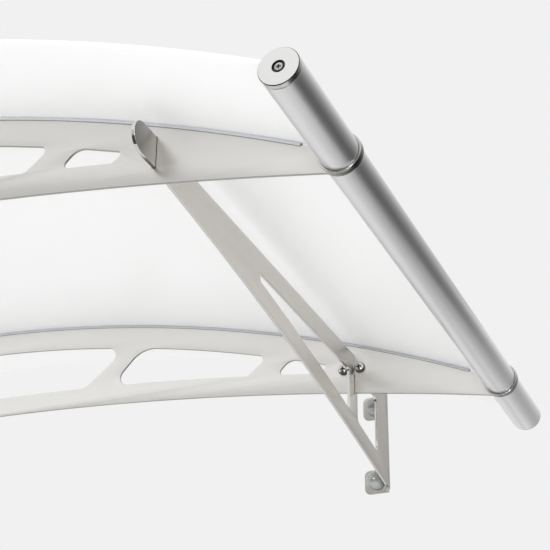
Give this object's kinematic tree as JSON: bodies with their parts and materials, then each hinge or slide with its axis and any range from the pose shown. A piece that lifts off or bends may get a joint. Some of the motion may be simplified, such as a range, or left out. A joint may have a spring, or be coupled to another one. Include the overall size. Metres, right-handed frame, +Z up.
{
  "type": "door canopy",
  "caption": "Curved door canopy: arched frosted sheet on slotted steel cross beams between side tubes, carried by flat wall brackets.",
  "frame": {"origin": "on the wall plane, midway between the two side tubes, at the height of the tubes' axes", "axes": "+X along the wall to the right as seen from the front, +Y into the wall, +Z up; the canopy reaches out towards -Y"},
  "size_m": [2.005, 0.9063, 0.3165],
  "materials": {
    "frosted_sheet": "translucent frosted acrylic, smooth edges",
    "brushed_steel": "fine brushed stainless steel",
    "satin_aluminium": "satin anodised round tube",
    "chrome": "bright plated fasteners",
    "rubber": "matt grey rubber strip",
    "grey_plastic": "smooth grey moulded plastic"
  },
  "bodies": {
    "root": {"acrylic_sheet": "frosted_sheet", "front_beam": "brushed_steel", "rear_beam": "brushed_steel", "front_seal": "rubber", "rear_seal": "rubber", "side_tube_right": "satin_aluminium", "side_tube_left": "satin_aluminium", "cap_insert_right": "satin_aluminium", "cap_insert_left": "satin_aluminium", "front_cap_right": "brushed_steel", "front_cap_left": "brushed_steel", "cap_screw_right": "chrome", "cap_screw_left": "chrome", "wall_plug_right": "grey_plastic", "wall_plug_left": "grey_plastic", "bracket_right": "brushed_steel", "bracket_left": "brushed_steel", "inner_beam_screw_right": "chrome", "inner_beam_screw_left": "chrome", "outer_beam_screw_right": "chrome", "outer_beam_screw_left": "chrome", "inner_beam_nut_right": "chrome", "inner_beam_nut_left": "chrome", "outer_beam_nut_right": "chrome", "outer_beam_nut_left": "chrome", "upper_wall_washer_right": "chrome", "upper_wall_washer_left": "chrome", "lower_wall_washer_right": "chrome", "lower_wall_washer_left": "chrome", "upper_wall_nut_right": "chrome", "upper_wall_nut_left": "chrome", "lower_wall_nut_right": "chrome", "lower_wall_nut_left": "chrome", "upper_nut_cover_right": "grey_plastic", "upper_nut_cover_left": "grey_plastic", "lower_nut_cover_right": "grey_plastic", "lower_nut_cover_left": "grey_plastic"}
  },
  "joints": []
}
